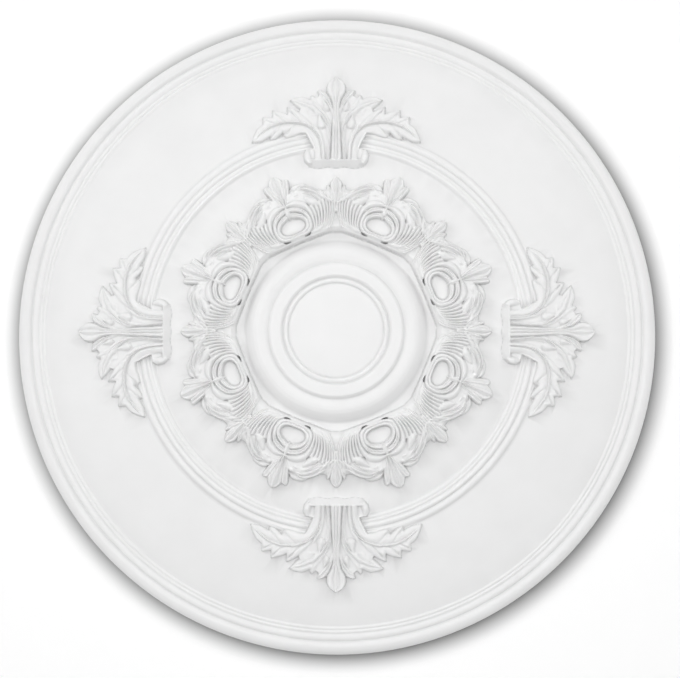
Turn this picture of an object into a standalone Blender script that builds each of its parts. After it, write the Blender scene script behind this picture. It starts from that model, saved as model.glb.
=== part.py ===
# Moulded ceiling rose, hung face down: the flat back is at z = 0 against the ceiling and the relief
# faces -Z. One cast piece: a turned dish, four palmettes over its middle ring and a wreath of eight
# scrolled leaves round its boss. Metres.
import math

import bmesh
import bpy
from mathutils import Matrix, Vector

# Dish, all radii from the axis and all drops down from the ceiling.
ROSE_R = 0.330
ROSE_STEPS = 52
BACK_CHAMFER = 0.0045
RIM_WIDEST_DROP = 0.008
RIM_CREST_DROP = 0.0172
RIM_ROLL_W = 0.0131
RIM_GROOVE_DROP = 0.0140
RIM_BEAD_W = 0.0073
RIM_BEAD_DROP = 0.0160
RIM_FILLET_W = 0.0081
RIM_FILLET_DROP = 0.0153
FIELD_EDGE_DROP = 0.0145
FIELD_MID_DROP = 0.0203
FIELD_INNER_DROP = 0.0240

# Middle ring
RING_OUTER_R = 0.2121
RING_W = 0.0231
RING_OUTER_BEAD_DROP = 0.0274
RING_GROOVE_DROP = 0.0256
RING_CREST_DROP = 0.0288
RING_INNER_BEAD_DROP = 0.0282
RING_FOOT_DROP = 0.0254

# Boss and the moat round it
LEDGE_R = 0.1030
LEDGE_DROP = 0.0346
MOAT_OUTER_R = 0.1002
MOAT_INNER_R = 0.0930
MOAT_DROP = 0.0330
TORUS_R = 0.0790
TORUS_DROP = 0.0448
PLATEAU_R = 0.0663
PLATEAU_INNER_R = 0.0558
PLATEAU_DROP = 0.0465
BOSS_GROOVE_DROP = 0.0428
BOSS_RING_R = 0.0518
BOSS_RING_INNER_R = 0.0488
BOSS_RING_DROP = 0.0450
CUP_R = 0.0462
CUP_DROP = 0.0440

# Carving
FOOT_SINK = 0.0030
LEAN = 0.30
NOTCH = 0.42
CARVING_FACES_KEPT = 0.60
FLAT_ANGLE = 1.2
PALMETTES = 4
PALMETTE_FOOT_R = 0.1695
PALMETTE_TIP_R = 0.2640
PALMETTE_RISE = 0.0095
PALMETTE_HALF_W = 0.0850
UNITS = 8
WREATH_TIP_R = 0.1715
WREATH_RISE = 0.0105
BIG_LEAF_HALF_W = 0.0145
SMALL_LEAF_TIP_R = 0.1600
SMALL_LEAF_HALF_W = 0.0125
SIDE_LEAF_HALF_W = 0.0075
SCROLL_INNER_R = 0.0985
SCROLL_RISE = 0.0175
EYE_BOTTOM_R = 0.1070
EYE_TOP_R = 0.1245
ARCH_W = 0.0100
BUD_HALF_W = 0.0032


def clear_scene():
    for item in list(bpy.data.objects):
        bpy.data.objects.remove(item, do_unlink=True)


def plaster_material():
    mat = bpy.data.materials.new("primed_white")
    mat.use_nodes = True
    shader = mat.node_tree.nodes["Principled BSDF"]
    shader.inputs["Base Color"].default_value = (0.86, 0.86, 0.85, 1.0)
    shader.inputs["Roughness"].default_value = 0.6
    return mat


def add_object(name, mesh, group):
    item = bpy.data.objects.new(name, mesh)
    group.objects.link(item)
    return item


def baked(item, name):
    """The mesh of an object with its modifiers worked in."""
    bpy.context.view_layer.update()
    graph = bpy.context.evaluated_depsgraph_get()
    mesh = bpy.data.meshes.new_from_object(item.evaluated_get(graph))
    mesh.name = name
    return mesh


def rim_profile():
    groove_r = ROSE_R - RIM_ROLL_W
    bead_r = groove_r - RIM_BEAD_W
    field_r = bead_r - RIM_FILLET_W
    return [
        (ROSE_R - BACK_CHAMFER, 0.0),
        (ROSE_R, RIM_WIDEST_DROP),
        (ROSE_R - 0.15 * RIM_ROLL_W, 0.3 * RIM_WIDEST_DROP + 0.7 * RIM_CREST_DROP),
        (ROSE_R - 0.58 * RIM_ROLL_W, RIM_CREST_DROP),
        (groove_r, RIM_GROOVE_DROP),
        (groove_r - 0.5 * RIM_BEAD_W, RIM_BEAD_DROP),
        (bead_r, RIM_GROOVE_DROP),
        (bead_r - 0.4 * RIM_FILLET_W, RIM_FILLET_DROP),
        (field_r, FIELD_EDGE_DROP),
    ]


def ring_profile():
    return [
        (RING_OUTER_R + 0.0015, FIELD_INNER_DROP),
        (RING_OUTER_R - 0.20 * RING_W, RING_OUTER_BEAD_DROP),
        (RING_OUTER_R - 0.35 * RING_W, RING_GROOVE_DROP),
        (RING_OUTER_R - 0.50 * RING_W, RING_CREST_DROP),
        (RING_OUTER_R - 0.66 * RING_W, RING_GROOVE_DROP + 0.0012),
        (RING_OUTER_R - 0.86 * RING_W, RING_INNER_BEAD_DROP),
        (RING_OUTER_R - RING_W, RING_FOOT_DROP),
    ]


def boss_profile():
    return [
        (LEDGE_R, LEDGE_DROP),
        (MOAT_OUTER_R, MOAT_DROP),
        (MOAT_INNER_R, MOAT_DROP),
        (0.35 * TORUS_R + 0.65 * MOAT_INNER_R, 0.55 * TORUS_DROP + 0.45 * MOAT_DROP),
        (TORUS_R, TORUS_DROP),
        (PLATEAU_R + 0.0028, BOSS_GROOVE_DROP),
        (PLATEAU_R, PLATEAU_DROP),
        (PLATEAU_INNER_R, PLATEAU_DROP),
        (0.5 * (PLATEAU_INNER_R + BOSS_RING_R), BOSS_GROOVE_DROP),
        (BOSS_RING_R, BOSS_RING_DROP),
        (BOSS_RING_INNER_R, BOSS_RING_DROP),
        (0.5 * (BOSS_RING_INNER_R + CUP_R), BOSS_GROOVE_DROP),
        (CUP_R, CUP_DROP),
    ]


def dish_profile():
    rim = rim_profile()
    ring = ring_profile()
    field_mid = (0.5 * (rim[-1][0] + ring[0][0]), FIELD_MID_DROP)
    return rim + [field_mid] + ring + boss_profile()


def ground_drop(radius):
    """The dish's drop under the carving, without the middle ring."""
    rim = rim_profile()[-1]
    ring = ring_profile()
    levels = [
        (0.0, LEDGE_DROP),
        (LEDGE_R, LEDGE_DROP),
        ring[-1],
        ring[0],
        (0.5 * (rim[0] + ring[0][0]), FIELD_MID_DROP),
        rim,
    ]
    for (r0, d0), (r1, d1) in zip(levels, levels[1:]):
        if radius <= r1:
            return d0 + (d1 - d0) * (radius - r0) / (r1 - r0)
    return rim[1]


def turned_dish(group):
    """The profile turned about Z: flat back, rolled rim, domed field, ring, moat and boss."""
    points = [(0.0, 0.0)] + dish_profile() + [(0.0, CUP_DROP)]
    mesh = bpy.data.meshes.new("dish_profile")
    verts = [(r, 0.0, -drop) for r, drop in points]
    mesh.from_pydata(verts, [(i, i + 1) for i in range(len(verts) - 1)], [])
    item = add_object("dish_profile", mesh, group)
    screw = item.modifiers.new("turn", "SCREW")
    screw.axis = "Z"
    screw.angle = 2.0 * math.pi
    screw.steps = ROSE_STEPS
    screw.render_steps = ROSE_STEPS
    screw.use_merge_vertices = True
    screw.merge_threshold = 0.00005
    dish = baked(item, "dish")
    bpy.data.objects.remove(item, do_unlink=True)
    return dish


def bezier(points, t):
    """A point on the curve with these control points, at share t."""
    points = [Vector(p) for p in points]
    while len(points) > 1:
        points = [a.lerp(b, t) for a, b in zip(points, points[1:])]
    return points[0]


def loft(name, rows, group):
    """A closed body through rows of (across, out, height) points. Each row gets a foot under both ends,
    sunk into the dish; heights are over the dish's surface."""
    body = bmesh.new()
    rings = []
    for row in rows:
        tops = [Vector((u, v, ground_drop(math.hypot(u, v)) + h)) for u, v, h in row]
        feet = [
            Vector((p.x, p.y, ground_drop(math.hypot(p.x, p.y)) - FOOT_SINK))
            for p in (tops[-1], tops[0])
        ]
        rings.append([body.verts.new((p.x, -p.y, -p.z)) for p in tops + feet])
    count = len(rings[0])
    for a, b in zip(rings, rings[1:]):
        for i in range(count):
            j = (i + 1) % count
            body.faces.new((a[i], a[j], b[j], b[i]))
    body.faces.new(list(reversed(rings[0])))
    body.faces.new(rings[-1])
    bmesh.ops.recalc_face_normals(body, faces=body.faces)
    bmesh.ops.triangulate(body, faces=body.faces)
    mesh = bpy.data.meshes.new(name)
    body.to_mesh(mesh)
    body.free()
    return add_object(name, mesh, group)


def leaf(name, path, half_width, lobes, rise, group, side=1, belly=0.55, tip_rise=0.35):
    """A lobed leaf along a curve: highest on its midrib, each lobe's point leaning to the tip."""
    stations = [(0.0, 0.45, 0.0)]
    for k in range(lobes):
        span = 0.86 / lobes
        stations.append(((k + 0.62) * span, 1.0, LEAN))
        stations.append(((k + 1.0) * span, 1.0 - NOTCH, 0.0))
    if not lobes:
        stations += [(0.40, 1.0, 0.0), (0.78, 1.0, 0.0)]
    stations.append((1.0, 0.06, 0.0))
    rows = []
    for t, share, lean in stations:
        here = bezier(path, t)
        ahead = (bezier(path, min(t + 0.02, 1.0)) - bezier(path, max(t - 0.02, 0.0))).normalized()
        across = Vector((ahead.y, -ahead.x))
        full = math.sin(math.pi * min(0.97, max(0.12, t)) ** (math.log(0.5) / math.log(belly)))
        reach = half_width * (full**0.6) * share if t < 1.0 else half_width * share
        crest = rise * (tip_rise + (1.0 - tip_rise) * math.sin(math.pi * (0.18 + 0.72 * t)))
        left = here - across * reach + ahead * (lean * reach)
        right = here + across * reach + ahead * (lean * reach)
        rows.append(
            [
                (side * left.x, left.y, 0.55 * crest),
                (side * here.x, here.y, crest),
                (side * right.x, right.y, 0.55 * crest),
            ]
        )
    return loft(name, rows, group)


def band(name, outer, inner, heights, steps, group, side=1, ends=(1.0, 1.0)):
    """A ribbed scroll between two curves: heights are given across it, and ends scale the two ends."""
    rows = []
    for i in range(steps + 1):
        t = i / steps
        a = bezier(outer, t)
        b = bezier(inner, t)
        scale = ends[0] + (ends[1] - ends[0]) * min(1.0, t / 0.35)
        row = []
        for k, height in enumerate(heights):
            p = a.lerp(b, k / (len(heights) - 1))
            row.append((side * p.x, p.y, height * scale))
        rows.append(row)
    return loft(name, rows, group)


def polar(degrees, radius):
    angle = math.radians(degrees)
    return (radius * math.sin(angle), radius * math.cos(angle))


def joined(name, pieces, group):
    """One closed mesh from overlapping closed pieces."""
    first = pieces[0]
    others = bpy.data.collections.new(name + "_pieces")
    bpy.context.scene.collection.children.link(others)
    for piece in pieces[1:]:
        group.objects.unlink(piece)
        others.objects.link(piece)
    union = first.modifiers.new("join", "BOOLEAN")
    union.operation = "UNION"
    union.solver = "EXACT"
    union.operand_type = "COLLECTION"
    union.collection = others
    thin = first.modifiers.new("thin", "DECIMATE")
    thin.ratio = CARVING_FACES_KEPT
    thin.use_symmetry = True
    thin.symmetry_axis = "X"
    mesh = baked(first, name)
    for piece in pieces:
        bpy.data.objects.remove(piece, do_unlink=True)
    bpy.data.collections.remove(others)
    return mesh


def palmette_mesh(group):
    """Stem and collar on the axis, a centre lobe, and on each side three leaves and a volute."""
    foot = PALMETTE_FOOT_R
    tall = PALMETTE_TIP_R - foot
    wide = PALMETTE_HALF_W
    rise = PALMETTE_RISE
    levels = (
        (0.00, 0.31, 0.15),
        (0.06, 0.27, 1.25),
        (0.20, 0.24, 1.20),
        (0.42, 0.16, 1.00),
        (0.70, 0.06, 0.70),
    )
    stem_rows = []
    for share, half, height in levels:
        v = foot + share * tall
        u = half * wide
        h = height * rise
        stem_rows.append(
            [
                (-u, v, 0.75 * h),
                (-0.26 * u, v, h),
                (0.0, v, 0.82 * h),
                (0.26 * u, v, h),
                (u, v, 0.75 * h),
            ]
        )
    pieces = [loft("stem", stem_rows, group)]
    lobe_path = [(0.0, foot + 0.58 * tall), (0.0, foot + 0.8 * tall), (0.0, PALMETTE_TIP_R)]
    pieces.append(leaf("lobe", lobe_path, 0.098 * wide, 0, 0.95 * rise, group, belly=0.72))
    for side in (-1, 1):
        lower = [
            (0.155 * wide, foot + 0.08 * tall),
            (0.17 * wide, foot + 0.52 * tall),
            (0.60 * wide, foot + 0.63 * tall),
            (1.00 * wide, foot + 0.32 * tall),
        ]
        pieces.append(leaf("lower_leaf", lower, 0.178 * wide, 4, 1.1 * rise, group, side, belly=0.62))
        upper = [
            (0.05 * wide, foot + 0.42 * tall),
            (0.12 * wide, foot + 0.64 * tall),
            (0.31 * wide, foot + 0.70 * tall),
            (0.52 * wide, foot + 0.765 * tall),
        ]
        pieces.append(leaf("upper_leaf", upper, 0.115 * wide, 2, 1.0 * rise, group, side, belly=0.6))
        spur = [
            (0.04 * wide, foot + 0.60 * tall),
            (0.12 * wide, foot + 0.72 * tall),
            (0.19 * wide, foot + 0.85 * tall),
        ]
        pieces.append(leaf("spur", spur, 0.055 * wide, 0, 0.7 * rise, group, side, belly=0.6))
        curl = [
            (0.22 * wide, foot + 0.14 * tall),
            (0.30 * wide, foot + 0.10 * tall),
            (0.36 * wide, foot + 0.04 * tall),
        ]
        pieces.append(leaf("volute", curl, 0.060 * wide, 0, 1.05 * rise, group, side, tip_rise=0.9))
    return joined("palmette", pieces, group)


def wreath_mesh(group):
    """One repeat: the big leaf, a scroll curling round an open eye, side leaves and one small leaf."""
    rise = WREATH_RISE
    curl = SCROLL_RISE
    half_angle = 180.0 / UNITS
    eye_mid = 0.5 * (EYE_BOTTOM_R + EYE_TOP_R)
    shoulder = EYE_TOP_R + 1.05 * ARCH_W
    tall = WREATH_TIP_R - shoulder
    big = [(0.0, shoulder), (0.0, shoulder + 0.5 * tall), (0.0, WREATH_TIP_R)]
    pieces = [leaf("big_leaf", big, BIG_LEAF_HALF_W, 3, 1.15 * rise, group, belly=0.45)]
    bud = [
        (0.0, EYE_TOP_R - 0.1 * ARCH_W),
        (0.0, EYE_TOP_R + 0.5 * ARCH_W),
        (0.0, shoulder + 0.1 * ARCH_W),
    ]
    pieces.append(leaf("bud", bud, BUD_HALF_W, 0, 0.85 * curl, group, tip_rise=0.7))
    small = [
        polar(-half_angle, shoulder - 0.12 * tall),
        polar(-half_angle, shoulder + 0.36 * tall),
        polar(-half_angle, SMALL_LEAF_TIP_R),
    ]
    pieces.append(
        leaf("small_leaf", small, SMALL_LEAF_HALF_W, 2, 1.1 * rise, group, belly=0.5)
    )
    for side in (-1, 1):
        outer = [
            polar(half_angle - 0.9, shoulder + 0.12 * tall),
            polar(half_angle - 1.2, EYE_BOTTOM_R + 0.5 * ARCH_W),
            polar(half_angle - 8.0, SCROLL_INNER_R - 0.0015),
            polar(0.0, SCROLL_INNER_R),
        ]
        inner = [
            polar(half_angle - 11.0, EYE_TOP_R + 0.55 * ARCH_W),
            polar(half_angle - 15.5, eye_mid + 0.3 * ARCH_W),
            polar(half_angle - 14.5, EYE_BOTTOM_R),
            polar(0.0, EYE_BOTTOM_R),
        ]
        ribs = (0.35 * curl, 0.88 * curl, 0.66 * curl, 1.0 * curl, 0.72 * curl)
        pieces.append(band("scroll", outer, inner, ribs, 6, group, side, ends=(0.55, 1.0)))
        arch_out = [
            polar(half_angle - 11.7, EYE_TOP_R - 0.35 * ARCH_W),
            polar(half_angle - 12.7, EYE_TOP_R + 0.95 * ARCH_W),
            polar(half_angle - 18.0, EYE_TOP_R + 1.4 * ARCH_W),
            polar(-0.6, EYE_TOP_R + 1.1 * ARCH_W),
        ]
        arch_in = [
            polar(half_angle - 15.9, EYE_TOP_R - 0.75 * ARCH_W),
            polar(half_angle - 17.3, EYE_TOP_R - 0.15 * ARCH_W),
            polar(half_angle - 20.5, EYE_TOP_R - 0.07 * ARCH_W),
            polar(-0.6, EYE_TOP_R),
        ]
        pads = (0.5 * curl, 0.85 * curl, 0.62 * curl, 0.8 * curl, 0.5 * curl)
        pieces.append(band("arch", arch_out, arch_in, pads, 4, group, side))
        droop = [
            polar(half_angle - 4.7, shoulder - 0.7 * ARCH_W),
            polar(half_angle - 8.5, shoulder + 2.0 * ARCH_W),
            polar(half_angle - 16.5, shoulder + 1.5 * ARCH_W),
        ]
        pieces.append(
            leaf("side_leaf", droop, SIDE_LEAF_HALF_W, 2, 1.05 * rise, group, side, belly=0.6)
        )
    return joined("wreath_unit", pieces, group)


def ring_of_copies(mesh, count, offset, name, group):
    for k in range(count):
        turn = Matrix.Rotation(math.radians(offset) + k * 2.0 * math.pi / count, 4, "Z")
        copy = mesh.copy()
        copy.transform(turn)
        item = add_object(f"{name}_{k}", copy, group)
        item.display_type = "WIRE"


def main():
    clear_scene()
    scene = bpy.context.scene
    part = bpy.data.collections.new("ceiling_rose")
    carving = bpy.data.collections.new("carving")
    carving.hide_render = True
    for group in (part, carving):
        scene.collection.children.link(group)
    rose = add_object("ceiling_rose", turned_dish(carving), part)
    palmette = palmette_mesh(carving)
    unit = wreath_mesh(carving)
    ring_of_copies(palmette, PALMETTES, 0.0, "palmette", carving)
    ring_of_copies(unit, UNITS, 180.0 / UNITS, "wreath_unit", carving)
    union = rose.modifiers.new("carved", "BOOLEAN")
    union.operation = "UNION"
    union.solver = "EXACT"
    union.operand_type = "COLLECTION"
    union.collection = carving
    flat = rose.modifiers.new("merge_flat_faces", "DECIMATE")
    flat.decimate_type = "DISSOLVE"
    flat.angle_limit = math.radians(FLAT_ANGLE)
    rose.data.materials.append(plaster_material())


main()
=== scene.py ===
import math

import bpy
import numpy as np
from mathutils import Matrix


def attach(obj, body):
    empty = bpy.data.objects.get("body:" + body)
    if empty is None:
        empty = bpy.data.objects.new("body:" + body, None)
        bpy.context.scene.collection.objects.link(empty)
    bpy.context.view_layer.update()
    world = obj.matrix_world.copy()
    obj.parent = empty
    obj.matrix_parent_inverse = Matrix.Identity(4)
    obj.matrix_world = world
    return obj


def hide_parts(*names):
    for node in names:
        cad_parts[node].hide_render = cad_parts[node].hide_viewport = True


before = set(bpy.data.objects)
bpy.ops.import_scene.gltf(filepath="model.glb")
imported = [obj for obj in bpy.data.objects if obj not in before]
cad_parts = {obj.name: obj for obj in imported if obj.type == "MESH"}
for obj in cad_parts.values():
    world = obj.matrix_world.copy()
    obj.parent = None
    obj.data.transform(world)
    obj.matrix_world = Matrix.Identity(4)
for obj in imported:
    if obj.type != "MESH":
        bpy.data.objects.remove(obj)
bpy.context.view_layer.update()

scene = bpy.context.scene
mm = 0.001
print("stage: frame loaded")


# Turned dish: radius and drop from the ceiling in mm, from the middle of the face out to the rim.
dish = {
    "face": [
        # flat disc, the bead round it and the step out to the plateau
        (0, 44.0), (45.6, 44.0), (46.8, 43.4), (47.8, 42.7), (48.6, 43.4), (49.2, 44.7), (50.2, 45.1),
        (51.4, 44.9), (52.4, 44.0), (53.3, 42.9), (54.4, 43.8), (55.6, 45.9), (56.6, 46.5), (65.4, 46.5),
        # step in, torus and slope
        (66.6, 46.1), (68.2, 44.0), (69.3, 42.7), (70.6, 43.0), (73.5, 44.3), (77.0, 44.9), (80.0, 44.7),
        (83.6, 43.2), (87.0, 40.4), (89.6, 37.2),
        # moat, ledge and the field inside the middle ring
        (91.6, 34.2), (93.6, 33.0), (99.8, 33.0), (101.2, 33.4), (102.6, 34.6), (112, 35.0), (130, 33.4),
        (150, 31.2), (170, 28.6), (186.0, 25.9), (187.6, 25.6),
        # four beads of the middle ring and the slope off it
        (188.8, 26.4), (190.2, 28.2), (191.6, 28.2), (192.8, 27.3), (194.0, 28.0), (195.2, 28.0),
        (196.4, 26.9), (197.8, 28.2), (199.0, 28.8), (200.6, 28.6), (202.0, 27.2), (203.0, 25.9),
        (204.0, 26.8), (205.6, 27.4), (207.4, 27.3), (209.0, 26.4), (210.4, 24.7), (211.6, 24.0),
        # field outside it
        (214.0, 23.9), (236, 22.4), (258, 20.4), (280, 17.7), (299.2, 14.6), (300.4, 14.4),
        # three beads and the crest of the rolled rim
        (301.6, 15.2), (303.0, 15.2), (304.0, 14.3), (305.2, 15.3), (306.6, 15.3), (307.8, 14.3),
        (309.0, 15.4), (310.8, 15.9), (313.0, 15.9), (314.4, 15.0), (315.3, 13.9), (316.3, 14.6),
        (317.9, 16.3), (320.4, 17.2)],
    # the fields without boss and middle ring, for the carving to stand on
    "ground": [
        (0, 34.6), (102, 34.6), (112, 35.0), (130, 33.4), (150, 31.2), (170, 28.6), (189, 25.4),
        (214, 24.0), (258, 20.4), (301, 14.5)],
    "blunt": 0.45,             # mm to each side over which the profile's corners are rounded
    "plainTo": 43,             # radius of the disc that takes no painted ridge highlight or groove shade
    "rollTo": (330.0, 8.0),    # widest point of the rolled rim
    "rollSteps": 9,
    "undercut": [(0.4, 5.4), (1.6, 2.8), (3.9, 0.5), (4.5, 0.0)],    # in from the widest radius, and drop
    "backRings": (310.0, 200.0, 100.0, 4.0),
    "ringRuns": [(0.5, 6), (42, 0.65), (92, 0.6), (172, 0.7), (299, 0.6)],    # radius, spacing from there
    "columns": 1920,
}
carving = {
    "cell": 0.25,          # mm, grid on which each carved unit is worked out
    "softCells": 1,        # cells over which its edges are softened
    "crisp": 0.8,          # share by which small steps of the height are made deeper
    "crispCells": 3,
    "foldWidth": 0.014,    # share of a leaf's length
    "foldLean": 0.1,
    "wreathUnits": 8,
    "palmettes": 4,
    "wreathBox": (-74.0, 74.0, 84.0, 180.0),
    "palmetteBox": (-92.0, 92.0, 160.0, 270.0),
    "wreathTop": 16.4,     # mm, highest point over the dish
    "palmetteTop": 10.8,
    "reach": (92, 268),    # mm, radii between which the dish is carved
    "least": 0.02,         # mm of height under which the dish stays bare
    "carvedFrom": 0.4,     # mm of height that counts as carved
    "creaseCells": 2,      # cells of the mean that a groove's depth is told from
    "outlineShade": 1.7,       # mm of crease given to the carving's outline, painted there as a dark line of shade
    "edgeFrom": 0.9,       # carved share of the cells around, under which the outline's painted shade sets in
    "edgeFade": 0.3,       # and how much less of it gives the full painted shade
    "facesKept": 190000,
    "sharpAngle": 52.0,
}


def track(points, share):
    # Rows of (x, y): the smooth curve through them, each span a cubic. Rows of (s, x, y): straight runs
    # that reach each point at share s.
    rows = np.asarray(points, float)
    if rows.shape[1] == 3:
        return np.stack([np.interp(share, rows[:, 0], rows[:, k]) for k in (1, 2)], axis=1)
    spans = len(rows) - 1
    wide = np.vstack([2 * rows[0] - rows[1], rows, 2 * rows[-1] - rows[-2]])
    place = np.clip(share * spans, 0, spans - 1e-9)
    k = place.astype(int)
    f = (place - k)[:, None]
    a, b, c, d = wide[k], wide[k + 1], wide[k + 2], wide[k + 3]
    bend = 2 * a - 5 * b + 4 * c - d
    twist = 3 * b - a - 3 * c + d
    return 0.5 * (2 * b + (c - a) * f + bend * f ** 2 + twist * f ** 3)


def level(pairs, x):
    # Value at x on the straight runs between the (place, value) pairs.
    table = np.asarray(pairs, float)
    return np.interp(x, table[:, 0], table[:, 1])


def samplesFor(lines):
    # Enough samples that none of the lines steps further than about half a cell.
    fine = np.linspace(0, 1, 240)
    steps = [np.linalg.norm(np.diff(track(line, fine), axis=0), axis=1).max() for line in lines]
    return int(max(steps) * (len(fine) - 1) / carving["cell"] * 1.8) + 12


def strip(first, second, across, rise, along=((0, 1), (1, 1)), ribs=0, ribDepth=0.0,
          ribAlong=((0, 1), (1, 1)), folds=(), foldDepth=0.3):
    # point = first(t) * (1 - w) + second(t) * w, height = rise * along(t) * body(t, w)
    # body = across(w) - ribDepth * ribAlong(t) * (0.5 + 0.5 cos(2 pi ribs w)) ^ 2
    #        - foldDepth * w * exp(-((t - fold + foldLean (1 - w)) / foldWidth) ^ 2) for each fold
    fine = np.linspace(0, 1, 60)
    gap = np.linalg.norm(track(first, fine) - track(second, fine), axis=1).max()
    t = np.linspace(0, 1, samplesFor([first, second]))
    w = np.linspace(0, 1, int(gap / carving["cell"] * 1.9) + 12)    # about two samples to a cell
    near = track(first, t)
    gone = track(second, t) - near
    tt, ww = np.meshgrid(t, w, indexing="ij")
    x = near[:, :1] + gone[:, :1] * ww
    y = near[:, 1:] + gone[:, 1:] * ww
    wave = (0.5 + 0.5 * np.cos(2 * np.pi * ribs * ww)) ** 2
    body = level(across, ww) - ribDepth * level(ribAlong, tt) * wave
    for fold in folds:
        off = (tt - fold + carving["foldLean"] * (1 - ww)) / carving["foldWidth"]
        body = body - foldDepth * ww * np.exp(-(off ** 2))
    height = rise * level(along, tt) * body
    return x, y, height


lobeBody = ((0, 1), (0.5, 0.92), (0.85, 0.72), (1, 0.5))
lobeSwell = ((0, 0.1), (0.12, 0.5), (0.4, 0.95), (0.6, 1), (0.85, 0.7), (1, 0.08))


def lobe(path, width, rise, along=((0, 0.8), (0.5, 1), (1, 0.7)), swell=lobeSwell):
    # point = path(t) + w * width * swell(t) * side(t), height = rise * along(t) * lobeBody(|w|)
    t = np.linspace(0, 1, samplesFor([path]))
    w = np.linspace(-1, 1, int(width / carving["cell"] * 4) + 16)    # two samples to a cell
    mid = track(path, t)
    ahead = np.gradient(mid, axis=0)
    ahead /= np.linalg.norm(ahead, axis=1)[:, None] + 1e-9
    tt, ww = np.meshgrid(t, w, indexing="ij")
    reach = width * level(swell, tt) * ww
    x = mid[:, :1] + ahead[:, 1:] * reach
    y = mid[:, 1:] - ahead[:, :1] * reach
    return x, y, rise * level(along, tt) * level(lobeBody, np.abs(ww))


def blankGrid(box):
    # Heights of zero, one for each cell of the box (left, right, inner, outer).
    columns = int(round((box[1] - box[0]) / carving["cell"])) + 1
    rows = int(round((box[3] - box[2]) / carving["cell"])) + 1
    return np.zeros((rows, columns))


def stamp(grid, box, patch, sides):
    # Keeps the highest of the patch's samples in each cell, on one side of the axis or on both.
    x, y, height = patch
    for side in sides:
        column = np.round((side * x - box[0]) / carving["cell"]).astype(int)
        row = np.round((y - box[2]) / carving["cell"]).astype(int)
        ok = (column >= 0) & (column < grid.shape[1]) & (row >= 0) & (row < grid.shape[0])
        np.maximum.at(grid, (row[ok], column[ok]), height[ok])


def softened(grid, cells):
    # Running mean over a few cells, three times each way: the soft edge of a moulding.
    n = 2 * cells + 1
    out = grid
    for axis in (0, 1) * 3:
        pad = [(0, 0), (0, 0)]
        pad[axis] = (cells, cells)
        wide = np.insert(np.cumsum(np.pad(out, pad, mode="edge"), axis=axis), 0, 0, axis=axis)
        ends = np.take(wide, range(n, wide.shape[axis]), axis=axis)
        out = (ends - np.take(wide, range(wide.shape[axis] - n), axis=axis)) / n
    return out


def finished(grid, top):
    # height = soft + crisp * (soft - wide) inside the carving, wide being a broader mean of soft, then
    # scaled so that its highest point is at top.
    soft = softened(grid, carving["softCells"])
    wide = softened(soft, carving["crispCells"])
    inside = softened((grid > carving["carvedFrom"]).astype(float), 1)
    height = np.maximum(soft + carving["crisp"] * (soft - wide) * inside, 0)
    return height * top / height.max()


def flipped(points):
    # The same points on the other side of the upright axis.
    return [(-x, y) for x, y in points]


def turned(points, degrees):
    # Points drawn about an upright axis, turned clockwise about the rose's middle.
    c = math.cos(math.radians(degrees))
    s = math.sin(math.radians(degrees))
    return [(y * s + x * c, y * c - x * s) for x, y in points]


fullLeaf = ((0, 0.58), (0.1, 0.8), (0.27, 0.74), (0.42, 0.9), (0.5, 1.0), (0.58, 0.9), (0.73, 0.74),
            (0.9, 0.8), (1, 0.58))
sideLobe = ((0, 0.5), (0.2, 0.82), (0.45, 0.74), (0.75, 0.95), (1, 0.74))
roundLobe = ((0, 0.55), (0.3, 0.95), (0.65, 1.0), (1, 0.6))


def carvedUnit(box, top, parts):
    # Lets each part put its patches on one grid, on both sides of the axis unless it says otherwise. In all
    # of them x runs round the rose and y outwards, in mm.
    grid = blankGrid(box)

    def put(patch, sides=(1, -1)):
        stamp(grid, box, patch, sides)

    for part in parts:
        part(put)
    return finished(grid, top)


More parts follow.
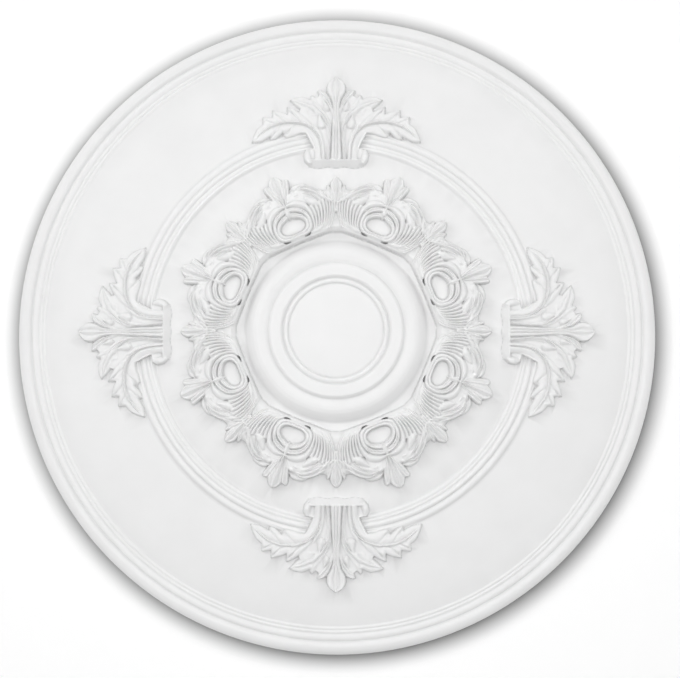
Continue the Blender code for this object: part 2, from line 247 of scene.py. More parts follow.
def wreathScroll(put):
    # The eye of a wreath unit with what rolls round it, each a strip between two outlines, and a bud.

    # bed that the leaves grow from, and the raised floor inside the eye
    put(strip([(52, 140), (45, 138), (38, 141), (30, 147), (20, 149), (10, 149), (-0.5, 150)],
              [(50, 118), (44, 116), (36, 118), (26, 121), (21, 132), (10, 137), (-0.5, 136)],
              ((0, 0.45), (0.12, 0.85), (0.3, 1.0), (1, 1.0)), 9.8))
    put(strip([(-14, 103), (14, 103)], [(-14, 126), (14, 126)], ((0, 1), (1, 1)), 7.6), (1,))
    # collar round the eye
    collar = [(-0.5, 100.4), (8, 100.4), (14, 101.7), (18.2, 105.0), (20.0, 111), (20.0, 118), (17.6, 125),
              (13, 129.8), (7, 132.8), (-0.5, 134.2)]
    eye = [(-0.5, 106.2), (5, 106.3), (9.4, 107.6), (12.2, 110.4), (12.9, 113.8), (11.6, 116.9),
           (8.9, 119.0), (5.8, 120.4), (2.6, 121.6), (-0.5, 122.3)]
    put(strip(collar, eye,
              ((0, 0.76), (0.12, 0.95), (0.36, 1.0), (0.47, 0.85), (0.62, 0.97), (0.82, 0.94), (0.93, 0.7),
               (1, 0.45)), 14.0, along=((0, 0.97), (0.6, 1.0), (1, 0.93)), ribs=4, ribDepth=0.12,
              ribAlong=((0, 0), (0.5, 0.1), (0.66, 1), (0.93, 0.8), (1, 0))))
    # rib that arches over it
    put(strip([(16, 100.8), (20.6, 104.0), (23, 110), (24, 118), (23.4, 125.5), (20.8, 131.8), (16, 136.0),
               (10, 138.1), (4, 137.4), (-0.5, 136.0)],
              [(14, 101.2), (18.3, 104.9), (20.1, 111), (20.1, 118), (17.7, 125), (15.4, 127.8),
               (12.8, 129.9), (7, 132.8), (3, 133.7), (-0.5, 134.2)],
              ((0, 0.8), (0.3, 0.97), (0.6, 1.0), (1, 0.78)), 13.6, along=((0, 0.9), (0.3, 1), (1, 0.97))))
    # fan of ribs at the scroll's side in two halves, and the thin lip below
    middle = [(15, 99.8), (24, 100.8), (30.4, 104), (34.4, 109.5), (37.4, 116), (39.2, 122), (40.2, 129)]
    put(strip([(35.7, 98.1), (39.4, 102.7), (43.4, 108.6), (47.1, 114.7), (49.9, 121.1), (51.4, 125.0),
               (52.6, 128.6)], middle, ((0, 0.6), (0.15, 0.84), (1, 0.96)), 13.0,
              along=((0, 0.78), (0.3, 0.92), (0.75, 1), (1, 0.92)), ribs=4, ribDepth=0.2,
              ribAlong=((0, 0.3), (0.2, 0.8), (0.5, 1), (1, 0.9))))
    put(strip(middle,
              [(13, 100.5), (17.5, 101.8), (20.8, 104.4), (23.0, 110), (24.0, 116), (24.0, 121.5),
               (23.0, 127)], ((0, 0.94), (1, 0.96)), 13.6,
              along=((0, 0.86), (0.3, 0.95), (0.75, 1), (1, 0.92)), ribs=4, ribDepth=0.2,
              ribAlong=((0, 0.2), (0.2, 0.6), (0.5, 1), (1, 0.9))))
    put(strip([(-0.5, 97.3), (10, 97.1), (20, 96.9), (29, 96.6), (37, 96.0)],
              [(-0.5, 100.2), (10, 100.1), (20, 100.2), (29, 100.4), (37, 100.6)],
              ((0, 0.5), (0.3, 0.9), (0.6, 0.95), (1, 1.15)), 10.0,
              along=((0, 0.95), (0.7, 0.9), (1, 0.45))))
    # bud over the eye
    put(lobe([(0, 121.6), (0, 127), (0, 134.8)], 3.4, 14.8, along=((0, 0.7), (0.4, 1), (1, 0.88)),
             swell=((0, 0.1), (0.5, 1), (0.8, 0.8), (1, 0.3))), (1,))


def wreathLeaves(put):
    # The leaves over and beside the eye, as strips between a crest and an edge, and lobes along a path.

    # low leaf behind the big one
    put(strip([(31, 148.5), (26.5, 153.0), (20, 155.0), (14, 154.0), (10.4, 150.4)],
              [(24, 147), (20, 149), (16, 148.4), (12, 147), (8, 145)],
              ((0, 0.6), (0.3, 0.95), (0.6, 0.8), (1, 1)), 6.4))
    # side leaf, crest first, then its drooping lobes
    put(strip([(50, 126), (45, 133.6), (39.6, 140.4), (34, 146.0), (27.6, 150.0), (21.4, 150.4),
               (16, 147.8)],
              [(41, 124), (37, 130), (32.4, 136.6), (28.8, 140.4), (24.6, 143.6), (20.8, 145.9),
               (16.4, 147.0)], ((0, 0.5), (0.15, 0.84), (0.4, 0.68), (0.7, 1.0), (1, 0.62)), 12.2,
              along=((0, 1.0), (0.6, 1.0), (1, 0.72))))
    put(strip([(36, 130.5), (32, 137), (28.4, 140.8), (24.4, 143.6), (19.4, 145.2)],
              [(33.4, 129.6), (29.2, 135.4), (25.8, 138.6), (22.4, 140.6), (18.2, 142.4)],
              ((0, 0.56), (0.5, 1.0), (1, 0.6)), 11.8, along=((0, 1), (0.7, 1), (1, 0.75))))
    put(lobe([(33.6, 125.0), (27.6, 130.4), (21.6, 138.6)], 5.2, 14.0,
             along=((0, 0.85), (0.4, 1), (1, 0.8)),
             swell=((0, 0.15), (0.15, 0.7), (0.4, 1), (0.7, 0.8), (1, 0.3))))
    put(lobe([(21.5, 139.6), (15, 142.4), (8.6, 140.6)], 2.2, 11.4))
    put(lobe([(8.2, 142.6), (12, 146.4), (17, 147.0)], 2.6, 10.8))
    # big leaf: lower, side and centre lobes
    put(strip([(3, 136.2), (6.6, 139.2), (10.6, 142.6), (12.2, 146.6)],
              [(2.2, 137), (4.6, 141), (7.8, 145.6), (10.8, 148.2)], roundLobe, 10.4,
              along=((0, 1), (0.6, 1), (1, 0.6))))
    put(strip([(2.6, 136), (6.4, 142.6), (10.0, 148.8), (11.6, 153.6), (12.8, 158.0), (13.6, 161.6),
               (12.6, 163.6)],
              [(1.2, 136), (2.6, 143.5), (4.0, 150), (5.2, 156), (6.4, 160), (7.8, 162.6), (11.2, 163.8)],
              sideLobe, 11.6, along=((0, 1.1), (0.45, 0.98), (0.8, 0.76), (1, 0.5))))
    side = [(2.6, 136), (3.6, 144), (5.2, 152), (6.8, 158.6), (7.6, 162.4), (5.8, 166.6), (3.0, 169.8),
            (0.05, 171.4)]
    put(strip(flipped(side), side, fullLeaf, 12.2, along=((0, 1.1), (0.45, 0.98), (0.8, 0.7), (1, 0.4))),
        (1,))


def jointLeaf(put):
    # Small leaf on the joint between two units, drawn upright and turned by half a unit, with its flank
    # and stalk.
    put(lobe([(44, 124), (41, 131.5), (37.0, 140.0)], 2.4, 12.8, along=((0, 1.05), (0.5, 1), (1, 0.7)),
             swell=((0, 0.6), (0.5, 1), (1, 0.4))))
    tilt = 180 / carving["wreathUnits"]
    put(strip(turned([(-5, 102), (5, 102)], tilt), turned([(-5, 136), (5, 136)], tilt),
              ((0, 0.3), (0.12, 0.9), (1, 1)), 7.6))
    for s in (1, -1):
        put(strip(turned([(s * 2, 128.5), (s * 6, 130.6), (s * 9.8, 134.8), (s * 10.9, 139.4)], tilt),
                  turned([(s * 1.6, 131), (s * 5, 134.4), (s * 7.4, 138.6), (s * 9.2, 141.6)], tilt),
                  roundLobe, 11.6, along=((0, 1), (0.6, 1), (1, 0.6))))
        put(strip(turned([(s * 2, 130), (s * 6.0, 135.4), (s * 8.6, 141), (s * 9.7, 146.0),
                          (s * 9.2, 149.6)], tilt),
                  turned([(s * 0.8, 131), (s * 3, 137.4), (s * 4.8, 143), (s * 6.2, 147.0),
                          (s * 7.6, 149.8)], tilt), sideLobe, 11.8,
                  along=((0, 1.1), (0.5, 0.98), (1, 0.6))))
    side = [(1.6, 130), (3.2, 137), (4.8, 143), (5.9, 147.6), (6.1, 150.4), (4.4, 154.4), (2.2, 157.0),
            (0.05, 158.2)]
    put(strip(turned(flipped(side), tilt), turned(side, tilt), fullLeaf, 12.4,
              along=((0, 1.1), (0.4, 1.0), (0.8, 0.75), (1, 0.42))))
    put(strip(turned([(3.6, 141), (3.4, 134), (2.6, 127), (0.9, 121)], tilt),
              turned([(-3.6, 141), (-3.4, 134), (-2.6, 127), (-0.9, 121)], tilt),
              ((0, 0.7), (0.25, 0.95), (0.5, 0.8), (0.75, 0.95), (1, 0.7)), 12.6,
              along=((0, 0.9), (0.5, 1), (1, 0.9))))


def palmetteLeaves(put):
    # The bed, and the lower and upper leaf on each side, as strips from a spine out to each edge.

    # bed between the stalks
    put(strip([(-0.5, 249), (12, 248), (22, 242), (37, 231), (36, 214), (24, 196)],
              [(-0.5, 176), (6, 176), (12, 176), (17, 178), (20, 182), (21, 186)],
              ((0, 0.8), (0.08, 1), (1, 1.12)), 6.4))
    put(strip([(20, 190), (31, 186), (32, 178), (29, 172)], [(20, 186), (22, 182), (22, 178), (22, 174)],
              ((0, 1), (1, 1)), 6.0))
    # lower leaf: the half below its spine, then the upper half with the saw edge
    spine = [(14, 176), (15.2, 191), (19.6, 203.0), (29, 212.0), (44, 216), (60, 214.4), (74, 207.6),
             (86.5, 196.2)]
    low = [(0, 22.4, 176), (0.143, 22.2, 188), (0.25, 25.2, 197.4), (0.36, 30.8, 204.4), (0.45, 37, 204.4),
           (0.53, 45, 201.6), (0.6, 51.5, 200.0), (0.635, 56, 205.0), (0.70, 62, 199.4),
           (0.745, 67, 198.0), (0.77, 69.2, 201.0), (0.88, 78, 196.4), (1, 87, 195.6)]
    put(strip(spine, low, ((0, 1.0), (0.07, 0.76), (0.4, 0.92), (0.8, 0.78), (1, 0.5)), 8.2,
              folds=(0.635, 0.77), foldDepth=0.4,
              along=((0, 1.3), (0.25, 1.2), (0.5, 1.0), (0.8, 0.85), (1, 0.5))))
    saw = [(0, 11.2, 176), (0.143, 12, 191), (0.286, 14.4, 204.6), (0.39, 21, 214), (0.44, 30, 221),
           (0.50, 37.5, 227.3), (0.53, 44, 231), (0.568, 50.8, 233.6), (0.585, 51.0, 225.8),
           (0.65, 58, 228.4), (0.716, 66.2, 230.0), (0.732, 66.6, 222.4), (0.80, 76.2, 222.8),
           (0.82, 76.2, 215.2), (0.88, 81.5, 210.2), (0.94, 85, 203.2), (1, 87, 195.8)]
    put(strip(spine, saw, ((0, 1.1), (0.07, 1.08), (0.14, 0.8), (0.5, 0.92), (0.8, 0.8), (1, 0.52)), 8.6,
              folds=(0.45, 0.585, 0.732, 0.82), foldDepth=0.4,
              along=((0, 1.25), (0.25, 1.15), (0.5, 1.02), (0.8, 0.85), (1, 0.5))))
    # upper leaf with its stalk from the foot
    rib = [(8.8, 176), (6.6, 198), (7.4, 211), (13.0, 221.4), (21, 229.2), (31, 235.0), (47.5, 240.4)]
    top = [(0, 6.8, 176), (0.17, 4.8, 198), (0.33, 4.6, 213), (0.5, 9, 225), (0.6, 13.4, 231.6),
           (0.66, 18.6, 240.2), (0.72, 25.0, 246.4), (0.76, 28, 241.8), (0.85, 35, 244.6),
           (0.93, 42, 243.6), (1, 48, 240.8)]
    under = [(0, 10.8, 176), (0.17, 9.0, 198), (0.33, 10.8, 210.4), (0.43, 15.6, 217.4),
             (0.5, 20.4, 224.6), (0.55, 25.6, 225.0), (0.60, 33.6, 221.4), (0.66, 32.0, 227.6),
             (0.85, 40, 232.8), (1, 48, 240.4)]
    put(strip(rib, under, ((0, 1.08), (0.14, 1.02), (0.26, 0.76), (0.6, 0.86), (1, 0.52)), 8.8,
              folds=(0.63,), along=((0, 1.2), (0.35, 1.1), (0.7, 0.95), (1, 0.5))))
    put(strip(rib, top, ((0, 1.08), (0.12, 1.02), (0.25, 0.76), (0.6, 0.9), (1, 0.52)), 8.8, folds=(0.76,),
              along=((0, 1.2), (0.35, 1.1), (0.7, 0.95), (1, 0.5))))


def palmetteStem(put):
    # Strips across the axis or beside it, and lobes along a path.

    # side lobe, then the centre lobe over its fluted stem
    put(strip([(3, 222), (8.6, 234.5), (14.4, 242.0), (18.2, 246), (19.4, 250.4)],
              [(2.4, 224), (5.2, 238), (8.4, 245), (11.6, 249), (17.8, 251.2)],
              ((0, 0.56), (0.25, 0.92), (0.5, 0.7), (0.8, 1.0), (1, 0.66)), 8.4,
              along=((0, 1.1), (0.6, 0.98), (1, 0.7))))
    side = [(5.4, 176), (4.6, 200), (3.2, 222), (3.2, 232), (5.0, 241), (8.6, 247.4), (9.8, 252.6),
            (8.4, 257.8), (4.6, 262.0), (0.05, 264.8)]
    put(strip(flipped(side), side,
              ((0, 0.72), (0.06, 0.92), (0.2, 1.0), (0.34, 0.8), (0.5, 1.02), (0.66, 0.8), (0.8, 1.0),
               (0.94, 0.92), (1, 0.72)), 9.8,
              along=((0, 1.05), (0.4, 1.0), (0.7, 0.9), (0.9, 0.95), (1, 0.85))), (1,))
    # drops between the stalks
    drop = ((0, 0.15), (0.4, 0.65), (0.75, 1), (0.92, 0.8), (1, 0.3))
    put(lobe([(17.4, 225), (16.0, 217), (14.2, 209.6)], 4.8, 10.4, along=((0, 0.8), (0.7, 1), (1, 0.95)),
             swell=drop))
    put(lobe([(12.6, 239), (10.8, 233.5), (8.8, 228.2)], 3.4, 10.0, along=((0, 0.8), (0.7, 1), (1, 0.95)),
             swell=drop))
    # volute and sloping foot
    put(lobe([(29.0, 187.5), (29.6, 180), (26.5, 172.6)], 3.8, 10.0, along=((0, 0.7), (0.5, 1), (1, 0.8)),
             swell=((0, 0.5), (0.3, 0.9), (0.7, 1), (1, 0.6))))
    put(strip([(-27, 176.4), (-18, 176.4), (-9, 176.4), (0, 176.4), (9, 176.4), (18, 176.4), (27, 176.4)],
              [(-28.4, 169.8), (-18, 167.8), (-9, 169.4), (0, 168.2), (9, 169.4), (18, 167.8),
               (28.4, 169.8)], ((0, 1.0), (0.15, 0.95), (0.9, 0.2), (1, 0.04)), 9.4), (1,))


def faceDrop(radius):
    # drop = mean, over seven places within blunt, of the straight runs between the profile's points.
    table = np.array(dish["face"], float)
    spread = np.linspace(-dish["blunt"], dish["blunt"], 7)
    return np.mean([np.interp(np.abs(radius + s), table[:, 0], table[:, 1]) for s in spread], axis=0)


def readGrid(grid, box, u, v):
    # Height at (u, v) by mixing the four nearest cells of the grid; nothing outside it.
    gx = (u - box[0]) / carving["cell"]
    gy = (v - box[2]) / carving["cell"]
    inside = (gx >= 0) & (gx < grid.shape[1] - 1) & (gy >= 0) & (gy < grid.shape[0] - 1)
    ix = np.clip(gx.astype(int), 0, grid.shape[1] - 2)
    iy = np.clip(gy.astype(int), 0, grid.shape[0] - 2)
    fx = gx - ix
    fy = gy - iy
    near = grid[iy, ix] * (1 - fx) + grid[iy, ix + 1] * fx
    far = grid[iy + 1, ix] * (1 - fx) + grid[iy + 1, ix + 1] * fx
    return np.where(inside, near * (1 - fy) + far * fy, 0.0)


def carvedHeight(radius, angle):
    # height = the highest of the units' grids at (radius sin a, radius cos a), a being the angle from the
    # nearest unit's axis or from one of its neighbours'. The wreath starts half a unit round.
    units = carving["wreathUnits"]
    total = np.zeros_like(radius)
    for grid, box, count, offset in (
        (wreathGrid, carving["wreathBox"], units, math.pi / units),
        (palmetteGrid, carving["palmetteBox"], carving["palmettes"], 0.0),
    ):
        step = 2 * math.pi / count
        home = (angle - offset + step / 2) % step - step / 2
        for side in (-1, 0, 1):
            local = home + side * step
            u = radius * np.sin(local)
            v = radius * np.cos(local)
            total = np.maximum(total, readGrid(grid, box, u, v))
    return total


def ringRadii():
    # Rings close together over the whole moulded face, wide apart on the flat middle.
    runs = dish["ringRuns"]
    crest = dish["face"][-1][0]
    ends = [start for start, step in runs[1:]] + [crest]
    rings = []
    for (start, step), end in zip(runs, ends):
        count = max(2, int(round((end - start) / step)))
        rings += list(np.linspace(start, end, count, endpoint=False))
    return np.array(rings + [crest])


def paintedShadingCreases(bare, drop, cover, ornate, radii):
    # crease = running mean of the drop, less the drop, in mm, from which the material paints shade in
    # grooves and a highlight on ridges. The carving's outline counts as a crease too, and where nothing is
    # carved the bare dish's own creases stay.
    cells = carving["creaseCells"]
    plain = softened(bare, cells) - bare
    plain[radii < dish["plainTo"]] = 0
    carved = np.zeros_like(drop)
    carved[ornate] = cover > carving["carvedFrom"]
    # painted shade: a dark line just inside the carving's outline, put in as extra crease
    edge = (carving["edgeFrom"] - softened(carved, 1)) / carving["edgeFade"]
    outline = carving["outlineShade"] * np.clip(edge, 0, 1)
    hollows = softened(drop, cells) - drop
    return np.where(carved > 0, np.maximum(hollows, outline), plain)


def mouldedFace(radii, angle):
    # drop = the bare dish, or ground + carving where that stands further out; with each point's crease, for
    # the painted shade and highlight.
    rGrid, aGrid = np.meshgrid(radii, angle, indexing="ij")
    bare = faceDrop(rGrid)
    inner, outer = carving["reach"]
    ornate = (radii > inner) & (radii < outer)
    cover = carvedHeight(rGrid[ornate], aGrid[ornate])
    ground = level(dish["ground"], rGrid[ornate])
    drop = bare.copy()
    drop[ornate] = np.maximum(bare[ornate], np.where(cover > carving["least"], ground + cover, 0))
    return drop, paintedShadingCreases(bare, drop, cover, ornate, radii)


def rimAndBack():
    # A quarter turn from the crest to the widest point, then the undercut and the rings of the flat back.
    crestR, crestDrop = dish["face"][-1]
    wideR, wideDrop = dish["rollTo"]
    turn = np.linspace(0, math.pi / 2, dish["rollSteps"])[1:]
    inset, low = np.array(dish["undercut"]).T
    flat = np.array(dish["backRings"])
    radii = np.concatenate([crestR + (wideR - crestR) * np.sin(turn), wideR - inset, flat])
    drops = np.concatenate([wideDrop + (crestDrop - wideDrop) * np.cos(turn), low, 0 * flat])
    return radii, drops


def turnedMesh(radii, angle, drop):
    # point(r, a) = (r sin a, -r cos a, -drop(r, a)), rings joined by quads and each side closed by a fan.
    rGrid, aGrid = np.meshgrid(radii, angle, indexing="ij")
    rows, columns = drop.shape
    points = np.stack([rGrid * np.sin(aGrid), -rGrid * np.cos(aGrid), -drop], axis=-1).reshape(-1, 3) * mm
    poles = np.array([[0, 0, -dish["face"][0][1]], [0, 0, 0]]) * mm
    index = np.arange(rows * columns).reshape(rows, columns)
    after = np.roll(index, -1, axis=1)
    quads = np.stack([index[:-1], index[1:], after[1:], after[:-1]], axis=-1).reshape(-1, 4)
    facePole = rows * columns
    front = np.stack([np.full(columns, facePole), index[0], after[0]], axis=-1)
    rear = np.stack([np.full(columns, facePole + 1), after[-1], index[-1]], axis=-1)
    verts = np.vstack([points, poles])
    corners = np.concatenate([quads.ravel(), front.ravel(), rear.ravel()]).astype(np.int32)
    sizes = np.concatenate([np.full(len(quads), 4), np.full(2 * columns, 3)])
    mesh = bpy.data.meshes.new("roseCasting")
    mesh.vertices.add(len(verts))
    mesh.vertices.foreach_set("co", verts.ravel().astype(np.float32))
    mesh.loops.add(len(corners))
    mesh.loops.foreach_set("vertex_index", corners)
    mesh.polygons.add(len(sizes))
    mesh.polygons.foreach_set("loop_start", np.concatenate([[0], np.cumsum(sizes)[:-1]]).astype(np.int32))
    mesh.update(calc_edges=True)
    mesh.validate()
    return mesh


def thinDown(item):
    # Decimates to facesKept triangles, most of them where the relief is fine.
    full = item.data
    triangles = len(full.loops) - 2 * len(full.polygons)
    thin = item.modifiers.new("thin", "DECIMATE")
    thin.ratio = carving["facesKept"] / triangles
    bpy.context.view_layer.update()
    graph = bpy.context.evaluated_depsgraph_get()
    lean = bpy.data.meshes.new_from_object(item.evaluated_get(graph))
    item.modifiers.clear()
    item.data = lean
    bpy.data.meshes.remove(full)
    lean.name = "roseCasting"


def addPaintedShadingCrease(mesh, paintedShadingCrease, radii):
    # Per point, how far it lies below the mean of its surroundings in mm: above zero in a groove or at the
    # foot of a step, below zero on a ridge. Mixed from the four nearest samples of the rings, and kept as a
    # point attribute that paints shade and highlight.
    spots = np.empty(len(mesh.vertices) * 3, np.float32)
    mesh.vertices.foreach_get("co", spots)
    x, y, z = spots.reshape(-1, 3).T / mm
    radius = np.hypot(x, y)
    count = paintedShadingCrease.shape[1]
    row = np.interp(radius, radii, np.arange(len(radii)))
    column = np.arctan2(x, -y) / (2 * math.pi) * count % count
    i = np.clip(row.astype(int), 0, len(radii) - 2)
    j = column.astype(int) % count
    k = (j + 1) % count
    fi = np.clip(row - i, 0, 1)
    fj = column - column.astype(int)
    near = paintedShadingCrease[i, j] * (1 - fj) + paintedShadingCrease[i, k] * fj
    far = paintedShadingCrease[i + 1, j] * (1 - fj) + paintedShadingCrease[i + 1, k] * fj
    value = near * (1 - fi) + far * fi
    value = np.where((z < -1) & (radius < radii[-1]), value, 0)    # none on the rim and the back
    layer = mesh.attributes.new("paintedShadingCrease", "FLOAT", "POINT")
    layer.data.foreach_set("value", value.astype(np.float32))


def makeCasting():
    # Surface of revolution with relief, from the middle of the face over the rim to the middle of the back.
    radii = ringRadii()
    angle = np.linspace(0, 2 * math.pi, dish["columns"], endpoint=False)
    drop, paintedShadingCrease = mouldedFace(radii, angle)
    edgeRadii, edgeDrop = rimAndBack()
    edge = np.repeat(edgeDrop[:, None], len(angle), 1)
    mesh = turnedMesh(np.concatenate([radii, edgeRadii]), angle, np.vstack([drop, edge]))
    item = bpy.data.objects.new("rose_casting", mesh)
    scene.collection.objects.link(item)
    thinDown(item)
    addPaintedShadingCrease(item.data, paintedShadingCrease, radii)
    return item


wreathParts = (wreathScroll, wreathLeaves, jointLeaf)
wreathGrid = carvedUnit(carving["wreathBox"], carving["wreathTop"], wreathParts)
palmetteParts = (palmetteLeaves, palmetteStem)
palmetteGrid = carvedUnit(carving["palmetteBox"], carving["palmetteTop"], palmetteParts)
print("stage: carving worked out")
casting = makeCasting()
lean = casting.data
lean.shade_smooth()
lean.set_sharp_from_angle(angle=math.radians(carving["sharpAngle"]))
lean.calc_loop_triangles()
print("stage: casting made,", len(lean.loop_triangles), "triangles")


paint = {
    "plain": 0.85,
    # lighter tone painted on ridges as highlight, darker tone painted in grooves as shade
    "ridgeHighlight": 0.93,
    "grooveShade": 0.63,
    "paintedShadingReach": 1.9,    # mm of crease at which the painted highlight on ridges or painted shade in grooves is full
    "roughness": (0.47, 0.59),
    "mottle": 0.014,
    "mottleScale": 26.0,
    "noiseSpan": (0.3, 0.7),    # part of the noise that the mottling is spread over
    "specular": 0.3,
    "grainScale": 900.0,   # per metre, fine skin of the sprayed primer
    "grainDepth": 0.00004,
    "grainStrength": 0.35,
}


def rescaled(tree, socket, span, to=(0.0, 1.0)):
    # result = to[0] at span[0], to[1] at span[1], straight between them and level beyond.
    node = tree.nodes.new("ShaderNodeMapRange")
    for name, value in zip(("From Min", "From Max", "To Min", "To Max"), (*span, *to)):
        node.inputs[name].default_value = value
    tree.links.new(socket, node.inputs["Value"])
    return node


def primerSkin():
    # Group: fine grain height and a slow mottling mask, both from Object coordinates.
    group = bpy.data.node_groups.new("primerSkin", "ShaderNodeTree")
    layers = (("Grain Scale", "Height", 3.0), ("Mottle Scale", "Mottle", 4.0))
    for scaleName, outName, detail in layers:
        group.interface.new_socket(scaleName, in_out="INPUT", socket_type="NodeSocketFloat")
        group.interface.new_socket(outName, in_out="OUTPUT", socket_type="NodeSocketFloat")
    inputs = group.nodes.new("NodeGroupInput")
    outputs = group.nodes.new("NodeGroupOutput")
    place = group.nodes.new("ShaderNodeTexCoord")
    for scaleName, outName, detail in layers:
        noise = group.nodes.new("ShaderNodeTexNoise")
        noise.inputs["Detail"].default_value = detail
        group.links.new(place.outputs["Object"], noise.inputs["Vector"])
        group.links.new(inputs.outputs[scaleName], noise.inputs["Scale"])
        group.links.new(noise.outputs["Fac"], outputs.inputs[outName])
    return group


def paintedShadeAndHighlight(tree):
    # Painted highlight and shade from the crease attribute: the lighter ridge tone at minus the reach,
    # plain at zero, the darker groove tone at the reach.
    paintedShadingCrease = tree.nodes.new("ShaderNodeAttribute")
    paintedShadingCrease.attribute_name = "paintedShadingCrease"
    reach = paint["paintedShadingReach"]
    depth = rescaled(tree, paintedShadingCrease.outputs["Fac"], (-reach, reach))
    shades = tree.nodes.new("ShaderNodeValToRGB")
    stops = shades.color_ramp.elements
    stops[0].color = (paint["ridgeHighlight"],) * 3 + (1,)
    stops[1].color = (paint["grooveShade"],) * 3 + (1,)
    stops.new(0.5).color = (paint["plain"],) * 3 + (1,)
    tree.links.new(depth.outputs["Result"], shades.inputs["Fac"])
    return shades


def primedWhite():
    # Satin white primer. colour = painted shade in grooves and painted highlight on ridges, from the
    # crease, * slow mottling, roughness drifts with the mottling, and a fine grain lifts the surface.
    mat = bpy.data.materials.new("primedWhite")
    mat.use_nodes = True
    tree = mat.node_tree
    shader = tree.nodes["Principled BSDF"]
    shader.inputs["Specular IOR Level"].default_value = paint["specular"]
    skin = tree.nodes.new("ShaderNodeGroup")
    skin.node_tree = primerSkin()
    skin.inputs["Grain Scale"].default_value = paint["grainScale"]
    skin.inputs["Mottle Scale"].default_value = paint["mottleScale"]
    drift = (1 - paint["mottle"], 1 + paint["mottle"])
    tone = rescaled(tree, skin.outputs["Mottle"], paint["noiseSpan"], drift)
    rough = rescaled(tree, skin.outputs["Mottle"], paint["noiseSpan"], paint["roughness"])
    both = tree.nodes.new("ShaderNodeVectorMath")
    both.operation = "SCALE"
    tree.links.new(paintedShadeAndHighlight(tree).outputs["Color"], both.inputs[0])
    tree.links.new(tone.outputs["Result"], both.inputs["Scale"])
    bump = tree.nodes.new("ShaderNodeBump")
    bump.inputs["Strength"].default_value = paint["grainStrength"]
    bump.inputs["Distance"].default_value = paint["grainDepth"]
    tree.links.new(skin.outputs["Height"], bump.inputs["Height"])
    tree.links.new(both.outputs["Vector"], shader.inputs["Base Color"])
    tree.links.new(rough.outputs["Result"], shader.inputs["Roughness"])
    tree.links.new(bump.outputs["Normal"], shader.inputs["Normal"])
    return mat


casting.data.materials.clear()
casting.data.materials.append(primedWhite())
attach(casting, "root")
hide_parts("ceiling_rose")
print("stage: primer on")


room = {
    "ceilingRings": (0.3305, 0.34, 0.5, 1.0, 3.0),    # radii, from the hole behind the rose to the edge
    "ceilingGap": 0.0004,
    "ceilingTone": 0.97,
    "ceilingTurns": 96,
    "shadePlace": (0.0021, 0.0015, 0.0),    # middle of the soft shadow painted round the rose
    "shadeFrom": 0.3166,
    "shadeTo": 0.3542,
    # faint painted glow of the ceiling, dimmed where the shadow is painted
    "glow": 0.08,
    "floorDrop": 2.6,
    "floorSize": 8.0,
    "floorTone": 0.86,
    "roughness": 0.9,
    "worldLight": 0.54,
}


def flatMaterial(name, tone):
    # Matt, one grey all over.
    mat = bpy.data.materials.new(name)
    mat.use_nodes = True
    shader = mat.node_tree.nodes["Principled BSDF"]
    shader.inputs["Base Color"].default_value = (tone, tone, tone, 1)
    shader.inputs["Roughness"].default_value = room["roughness"]
    shader.inputs["Specular IOR Level"].default_value = 0.0
    return mat


def ceilingWhite():
    # Matt white, clear from above, with a soft shadow painted round the rose and a faint painted glow.
    # share = ceilingTone * smooth step of the distance from the painted shadow's middle, from shadeFrom to
    # shadeTo; it is the base colour and scales the faint glow.
    mat = flatMaterial("ceilingWhite", room["ceilingTone"])
    tree = mat.node_tree
    nodes = tree.nodes
    links = tree.links
    shader = nodes["Principled BSDF"]
    place = nodes.new("ShaderNodeTexCoord")
    away = nodes.new("ShaderNodeVectorMath")
    away.operation = "DISTANCE"
    away.inputs[1].default_value = room["shadePlace"]
    links.new(place.outputs["Object"], away.inputs[0])
    shade = (room["shadeFrom"], room["shadeTo"])
    share = rescaled(tree, away.outputs["Value"], shade, (0.0, room["ceilingTone"]))
    share.interpolation_type = "SMOOTHSTEP"
    glow = nodes.new("ShaderNodeMath")
    glow.operation = "MULTIPLY"
    glow.inputs[1].default_value = room["glow"]
    shader.inputs["Emission Color"].default_value = (1, 1, 1, 1)
    clear = nodes.new("ShaderNodeBsdfTransparent")
    side = nodes.new("ShaderNodeNewGeometry")
    mix = nodes.new("ShaderNodeMixShader")
    links.new(share.outputs["Result"], shader.inputs["Base Color"])
    links.new(share.outputs["Result"], glow.inputs[0])
    links.new(glow.outputs["Value"], shader.inputs["Emission Strength"])
    links.new(side.outputs["Backfacing"], mix.inputs["Fac"])
    links.new(shader.outputs["BSDF"], mix.inputs[1])
    links.new(clear.outputs["BSDF"], mix.inputs[2])
    links.new(mix.outputs["Shader"], nodes["Material Output"].inputs["Surface"])
    return mat


def roomPiece(name, points, faces, material):
    # An object of these points and faces, in one material.
    mesh = bpy.data.meshes.new(name)
    mesh.from_pydata(np.array(points).tolist(), [], np.array(faces).tolist())
    mesh.materials.append(material)
    item = bpy.data.objects.new(name, mesh)
    scene.collection.objects.link(item)
    return item


def makeCeiling():
    # Flat rings round the rose, facing down: point(r, a) = (r sin a, -r cos a, ceilingGap).
    turn = np.linspace(0, 2 * math.pi, room["ceilingTurns"], endpoint=False)
    rGrid, aGrid = np.meshgrid(room["ceilingRings"], turn, indexing="ij")
    z = np.full_like(rGrid, room["ceilingGap"])
    points = np.stack([rGrid * np.sin(aGrid), -rGrid * np.cos(aGrid), z], axis=-1)
    index = np.arange(rGrid.size).reshape(rGrid.shape)
    after = np.roll(index, -1, axis=1)
    faces = np.stack([index[:-1], after[:-1], after[1:], index[1:]], axis=-1)
    item = roomPiece("ceiling", points.reshape(-1, 3), faces.reshape(-1, 4), ceilingWhite())


def makeFloor():
    # One square, floorDrop below the ceiling.
    size = room["floorSize"]
    z = -room["floorDrop"]
    corners = [(-size, -size, z), (size, -size, z), (size, size, z), (-size, size, z)]
    item = roomPiece("floor", corners, [(0, 1, 2, 3)], flatMaterial("paleFloor", room["floorTone"]))


makeCeiling()
makeFloor()
print("stage: ceiling and floor in")


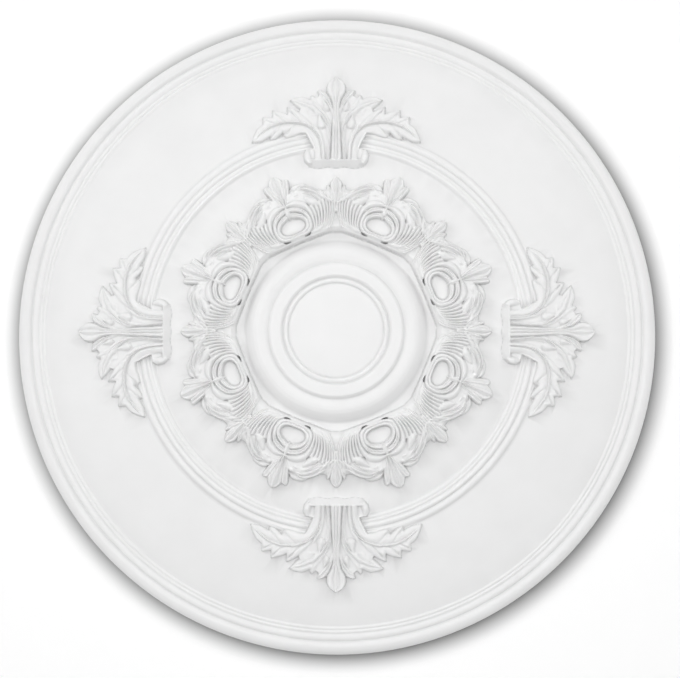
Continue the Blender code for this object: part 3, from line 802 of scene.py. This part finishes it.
lamps = {
    "west": dict(place=(-2.3, -1.3, -2.0), size=1.5, power=20.0),
    "east": dict(place=(2.0, -1.6, -2.0), size=1.5, power=13.5),
    "front": dict(place=(0.0, 0.0, -1.35), size=0.9, power=5.4),
    "above": dict(place=(0.8, 0.9, 1.9), size=1.6, power=32.0),
}


def addLamp(name, place, size, power):
    # A round lamp aimed at the middle of the rose's back, which the camera doesn't see.
    light = bpy.data.lights.new(name, "AREA")
    light.shape = "DISK"
    light.size = size
    light.energy = power
    item = bpy.data.objects.new(name, light)
    scene.collection.objects.link(item)
    item.location = place
    item.rotation_euler = (-item.location).to_track_quat("-Z", "Y").to_euler()
    item.visible_camera = False


for name, lamp in lamps.items():
    addLamp(name, **lamp)
world = bpy.data.worlds.new("room")
world.use_nodes = True
sky = world.node_tree.nodes["Background"]
sky.inputs["Color"].default_value = (1, 1, 1, 1)
sky.inputs["Strength"].default_value = room["worldLight"]
scene.world = world
scene.view_settings.view_transform = "Standard"


view = {
    "place": (0.0105, 0.0995, -1.2),
    "tiltUp": 2.715,    # degrees towards the rose's middle
    "tiltAcross": 0.5,
    "lens": 60.93,      # mm
    "sensor": 36.0,     # mm across
    "shift": (0.0052, 0.0527),
}


def addCamera():
    # Looks up at the rose, with +X at the picture's right and -Y at its top. ahead = +Z turned by tiltUp
    # towards -Y and by tiltAcross towards -X.
    a = math.radians(view["tiltUp"])
    b = math.radians(view["tiltAcross"])
    ahead = np.array([-math.sin(b), -math.sin(a) * math.cos(b), math.cos(a) * math.cos(b)])
    right = np.array([math.cos(b), 0, math.sin(b)])
    right = right - ahead * right.dot(ahead)
    right /= np.linalg.norm(right)
    up = np.cross(right, ahead)
    lens = bpy.data.cameras.new("camera")
    lens.lens = view["lens"]
    lens.sensor_width = view["sensor"]
    lens.shift_x, lens.shift_y = view["shift"]
    item = bpy.data.objects.new("camera", lens)
    scene.collection.objects.link(item)
    turn = Matrix((right, up, -ahead)).transposed().to_4x4()
    turn.translation = view["place"]
    item.matrix_world = turn
    scene.camera = item


addCamera()
print("stage: camera and light set")
